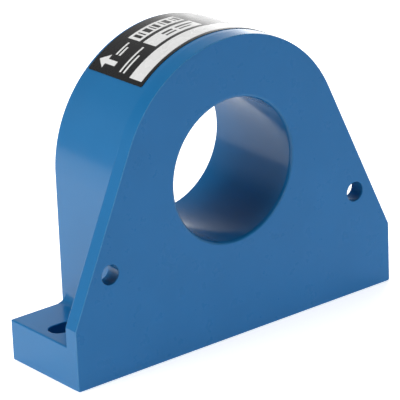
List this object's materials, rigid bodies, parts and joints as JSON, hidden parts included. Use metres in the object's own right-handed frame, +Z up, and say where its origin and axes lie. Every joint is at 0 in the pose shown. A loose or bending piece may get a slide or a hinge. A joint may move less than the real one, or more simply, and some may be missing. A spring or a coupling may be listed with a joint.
{
  "type": "hall effect current sensor",
  "caption": "Ring-type Hall effect current sensor: a blue moulded block with an arched body, a through bore for the conductor, slotted feet and a drilled front plate.",
  "frame": {"origin": "middle of the base, on the surface the feet stand on", "axes": "+Z up from the base, -Y out of the flat front face with the bore along Y, +X to the right seen from the front, towards the connector"},
  "size_m": [0.0864, 0.0254, 0.0674],
  "materials": {
    "housing_plastic": "smooth blue moulding with a soft gloss",
    "label": "glossy printed film, black with white fields",
    "core_metal": "grey strip-wound core",
    "insulation_film": "amber film",
    "pad_rubber": "grey foam rubber",
    "insulation_paper": "pressed insulating board",
    "natural_plastic": "natural nylon",
    "black_package": "moulded black epoxy",
    "tinned_metal": "tin plated",
    "board_laminate": "green solder mask on glass laminate",
    "yellow_package": "moulded yellow epoxy",
    "tan_ceramic": "tan ceramic",
    "trimmer_plastic": "dark blue moulding",
    "wiper_brass": "spring metal",
    "white_ceramic": "white alumina",
    "resin": "poured black resin"
  },
  "bodies": {
    "sensor_body": {"housing": "housing_plastic", "rating_label": "label", "magnetic_core": "core_metal", "core_sleeve": "insulation_film", "core_pad": "pad_rubber", "insulating_washer": "insulation_paper", "gap_spacer": "natural_plastic", "hall_element": "black_package", "hall_leads": "tinned_metal", "circuit_board": "board_laminate", "amplifier_chip": "black_package", "amplifier_leads": "tinned_metal", "voltage_regulator": "black_package", "regulator_leads": "tinned_metal", "output_transistors": "black_package", "transistor_leads": "tinned_metal", "protection_diodes": "black_package", "diode_leads": "tinned_metal", "tantalum_capacitors": "yellow_package", "capacitor_leads": "tinned_metal", "chip_resistors": "black_package", "chip_capacitors": "tan_ceramic", "chip_end_caps": "tinned_metal", "thermistor": "tan_ceramic", "offset_trimmer_case": "trimmer_plastic", "gain_trimmer_case": "trimmer_plastic", "trimmer_elements": "white_ceramic", "trimmer_terminals": "tinned_metal", "connector_header": "natural_plastic", "connector_pins": "tinned_metal", "solder_joints": "tinned_metal", "resin_fill": "resin"},
    "offset_adjuster": {"offset_trimmer_rotor": "natural_plastic", "offset_trimmer_wiper": "wiper_brass"},
    "gain_adjuster": {"gain_trimmer_rotor": "natural_plastic", "gain_trimmer_wiper": "wiper_brass"}
  },
  "joints": [
    {"name": "offset_turn", "type": "hinge", "parent": "sensor_body", "child": "offset_adjuster", "pos_m": [0.0245, 0.00875, 0.0284], "axis": [1, 0, 0], "range_deg": [-135, 135]},
    {"name": "gain_turn", "type": "hinge", "parent": "sensor_body", "child": "gain_adjuster", "pos_m": [0.0245, 0.00875, 0.0356], "axis": [1, 0, 0], "range_deg": [-135, 135]}
  ]
}
